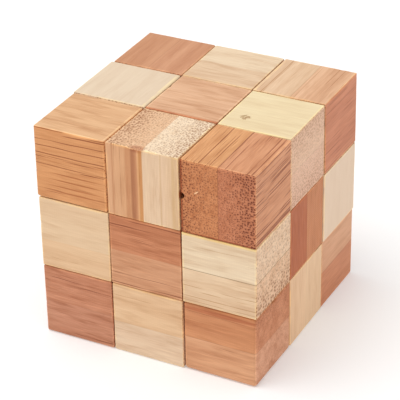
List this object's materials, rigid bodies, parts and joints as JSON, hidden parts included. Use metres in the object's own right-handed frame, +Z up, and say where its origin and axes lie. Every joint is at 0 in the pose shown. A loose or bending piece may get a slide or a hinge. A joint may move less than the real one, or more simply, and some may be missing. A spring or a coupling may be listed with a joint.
{
  "type": "snake cube puzzle",
  "caption": "Wooden snake cube puzzle: light and dark bamboo cubelets threaded on one elastic cord, folded into a checkered cube that pulls apart and unfolds.",
  "frame": {"origin": "middle of the closed cube's resting face, under the cube's middle column", "axes": "+Z up from the resting face, -Y towards the front face, +X to the right"},
  "size_m": [0.0456, 0.0452, 0.045],
  "materials": {
    "natural_bamboo": "satin",
    "carbonised_bamboo": "satin",
    "collar_wood": "matte",
    "cord_rubber": "matte"
  },
  "bodies": {
    "cube_01": {"cubelet_01_end": "carbonised_bamboo", "cord_collar_01": "collar_wood"},
    "cube_02": {"cubelet_02_straight": "natural_bamboo"},
    "cube_03": {"cubelet_03_turn": "carbonised_bamboo"},
    "cube_04": {"cubelet_04_turn": "natural_bamboo"},
    "cube_05": {"cubelet_05_straight": "carbonised_bamboo"},
    "cube_06": {"cubelet_06_turn": "natural_bamboo"},
    "cube_07": {"cubelet_07_turn": "carbonised_bamboo"},
    "cube_08": {"cubelet_08_straight": "natural_bamboo"},
    "cube_09": {"cubelet_09_turn": "carbonised_bamboo"},
    "cube_10": {"cubelet_10_turn": "natural_bamboo"},
    "cube_11": {"cubelet_11_straight": "carbonised_bamboo"},
    "cube_12": {"cubelet_12_turn": "natural_bamboo"},
    "cube_13": {"cubelet_13_turn": "carbonised_bamboo"},
    "cube_14": {"cubelet_14_straight": "natural_bamboo"},
    "cube_15": {"cubelet_15_turn": "carbonised_bamboo", "elastic_cord": "cord_rubber"},
    "cube_16": {"cubelet_16_turn": "natural_bamboo"},
    "cube_17": {"cubelet_17_straight": "carbonised_bamboo"},
    "cube_18": {"cubelet_18_turn": "natural_bamboo"},
    "cube_19": {"cubelet_19_turn": "carbonised_bamboo"},
    "cube_20": {"cubelet_20_straight": "natural_bamboo"},
    "cube_21": {"cubelet_21_turn": "carbonised_bamboo"},
    "cube_22": {"cubelet_22_turn": "natural_bamboo"},
    "cube_23": {"cubelet_23_straight": "carbonised_bamboo"},
    "cube_24": {"cubelet_24_turn": "natural_bamboo"},
    "cube_25": {"cubelet_25_turn": "carbonised_bamboo"},
    "cube_26": {"cubelet_26_straight": "natural_bamboo"},
    "cube_27": {"cubelet_27_end": "carbonised_bamboo", "cord_collar_27": "collar_wood"}
  },
  "joints": [
    {"name": "pull_14_15", "type": "slide", "parent": "cube_15", "child": "cube_14", "axis": [0, 0, 1], "range_m": [0, 0.01], "stiffness_N_per_m": 20, "springref_m": -0.02, "deforming": ["elastic_cord"]},
    {"name": "pull_13_14", "type": "slide", "parent": "cube_14", "child": "cube_13", "axis": [0, 0, 1], "range_m": [0, 0.01], "stiffness_N_per_m": 20, "springref_m": -0.02, "deforming": ["elastic_cord"]},
    {"name": "pull_12_13", "type": "slide", "parent": "cube_13", "child": "cube_12", "axis": [0, 1, 0], "range_m": [0, 0.01], "stiffness_N_per_m": 20, "springref_m": -0.02, "deforming": ["elastic_cord"]},
    {"name": "pull_11_12", "type": "slide", "parent": "cube_12", "child": "cube_11", "axis": [0, 0, -1], "range_m": [0, 0.01], "stiffness_N_per_m": 20, "springref_m": -0.02, "deforming": ["elastic_cord"]},
    {"name": "pull_10_11", "type": "slide", "parent": "cube_11", "child": "cube_10", "axis": [0, 0, -1], "range_m": [0, 0.01], "stiffness_N_per_m": 20, "springref_m": -0.02, "deforming": ["elastic_cord"]},
    {"name": "pull_09_10", "type": "slide", "parent": "cube_10", "child": "cube_09", "axis": [1, 0, 0], "range_m": [0, 0.01], "stiffness_N_per_m": 20, "springref_m": -0.02, "deforming": ["elastic_cord"]},
    {"name": "pull_08_09", "type": "slide", "parent": "cube_09", "child": "cube_08", "axis": [0, -1, 0], "range_m": [0, 0.01], "stiffness_N_per_m": 20, "springref_m": -0.02, "deforming": ["elastic_cord"]},
    {"name": "pull_07_08", "type": "slide", "parent": "cube_08", "child": "cube_07", "axis": [0, -1, 0], "range_m": [0, 0.01], "stiffness_N_per_m": 20, "springref_m": -0.02, "deforming": ["elastic_cord"]},
    {"name": "twist_06_07", "type": "hinge", "parent": "cube_07", "child": "cube_06", "pos_m": [0.01508, -0.01504, 0.01496], "axis": [0, 0, -1], "range_deg": [0, 90], "deforming": ["elastic_cord"]},
    {"name": "pull_05_06", "type": "slide", "parent": "cube_06", "child": "cube_05", "axis": [0, 1, 0], "range_m": [0, 0.01], "stiffness_N_per_m": 20, "springref_m": -0.02, "deforming": ["elastic_cord"]},
    {"name": "pull_04_05", "type": "slide", "parent": "cube_05", "child": "cube_04", "axis": [0, 1, 0], "range_m": [0, 0.01], "stiffness_N_per_m": 20, "springref_m": -0.02, "deforming": ["elastic_cord"]},
    {"name": "twist_03_04", "type": "hinge", "parent": "cube_04", "child": "cube_03", "pos_m": [0.0152, 0.01515, 0.02996], "axis": [0, 0, 1], "range_deg": [0, 180], "deforming": ["elastic_cord"]},
    {"name": "pull_02_03", "type": "slide", "parent": "cube_03", "child": "cube_02", "axis": [0, -1, 0], "range_m": [0, 0.01], "stiffness_N_per_m": 20, "springref_m": -0.02, "deforming": ["elastic_cord"]},
    {"name": "pull_01_02", "type": "slide", "parent": "cube_02", "child": "cube_01", "axis": [0, -1, 0], "range_m": [0, 0.01], "stiffness_N_per_m": 20, "springref_m": -0.02, "deforming": ["elastic_cord"]},
    {"name": "pull_15_16", "type": "slide", "parent": "cube_15", "child": "cube_16", "axis": [0, -1, 0], "range_m": [0, 0.01], "stiffness_N_per_m": 20, "springref_m": -0.02, "deforming": ["elastic_cord"]},
    {"name": "pull_16_17", "type": "slide", "parent": "cube_16", "child": "cube_17", "axis": [0, 0, 1], "range_m": [0, 0.01], "stiffness_N_per_m": 20, "springref_m": -0.02, "deforming": ["elastic_cord"]},
    {"name": "pull_17_18", "type": "slide", "parent": "cube_17", "child": "cube_18", "axis": [0, 0, 1], "range_m": [0, 0.01], "stiffness_N_per_m": 20, "springref_m": -0.02, "deforming": ["elastic_cord"]},
    {"name": "pull_18_19", "type": "slide", "parent": "cube_18", "child": "cube_19", "axis": [-1, 0, 0], "range_m": [0, 0.01], "stiffness_N_per_m": 20, "springref_m": -0.02, "deforming": ["elastic_cord"]},
    {"name": "pull_19_20", "type": "slide", "parent": "cube_19", "child": "cube_20", "axis": [0, 1, 0], "range_m": [0, 0.01], "stiffness_N_per_m": 20, "springref_m": -0.02, "deforming": ["elastic_cord"]},
    {"name": "pull_20_21", "type": "slide", "parent": "cube_20", "child": "cube_21", "axis": [0, 1, 0], "range_m": [0, 0.01], "stiffness_N_per_m": 20, "springref_m": -0.02, "deforming": ["elastic_cord"]},
    {"name": "twist_21_22", "type": "hinge", "parent": "cube_21", "child": "cube_22", "pos_m": [-0.01505, 0.0151, 0.02996], "axis": [0, 0, -1], "range_deg": [0, 90], "deforming": ["elastic_cord"]},
    {"name": "pull_22_23", "type": "slide", "parent": "cube_22", "child": "cube_23", "axis": [0, -1, 0], "range_m": [0, 0.01], "stiffness_N_per_m": 20, "springref_m": -0.02, "deforming": ["elastic_cord"]},
    {"name": "pull_23_24", "type": "slide", "parent": "cube_23", "child": "cube_24", "axis": [0, -1, 0], "range_m": [0, 0.01], "stiffness_N_per_m": 20, "springref_m": -0.02, "deforming": ["elastic_cord"]},
    {"name": "twist_24_25", "type": "hinge", "parent": "cube_24", "child": "cube_25", "pos_m": [-0.01505, -0.01502, 0.01496], "axis": [0, 0, 1], "range_deg": [0, 180], "deforming": ["elastic_cord"]},
    {"name": "pull_25_26", "type": "slide", "parent": "cube_25", "child": "cube_26", "axis": [0, 1, 0], "range_m": [0, 0.01], "stiffness_N_per_m": 20, "springref_m": -0.02, "deforming": ["elastic_cord"]},
    {"name": "pull_26_27", "type": "slide", "parent": "cube_26", "child": "cube_27", "axis": [0, 1, 0], "range_m": [0, 0.01], "stiffness_N_per_m": 20, "springref_m": -0.02, "deforming": ["elastic_cord"]}
  ],
  "couplings": [
    {"joint": "pull_11_12", "follows": "pull_14_15", "ratio": 1},
    {"joint": "pull_10_11", "follows": "pull_13_14", "ratio": 1},
    {"joint": "twist_06_07", "follows": "pull_09_10", "rad_per_m": 157.08},
    {"joint": "twist_03_04", "follows": "pull_09_10", "rad_per_m": 314.16},
    {"joint": "twist_21_22", "follows": "pull_18_19", "rad_per_m": 157.08},
    {"joint": "twist_24_25", "follows": "pull_18_19", "rad_per_m": 314.16}
  ]
}
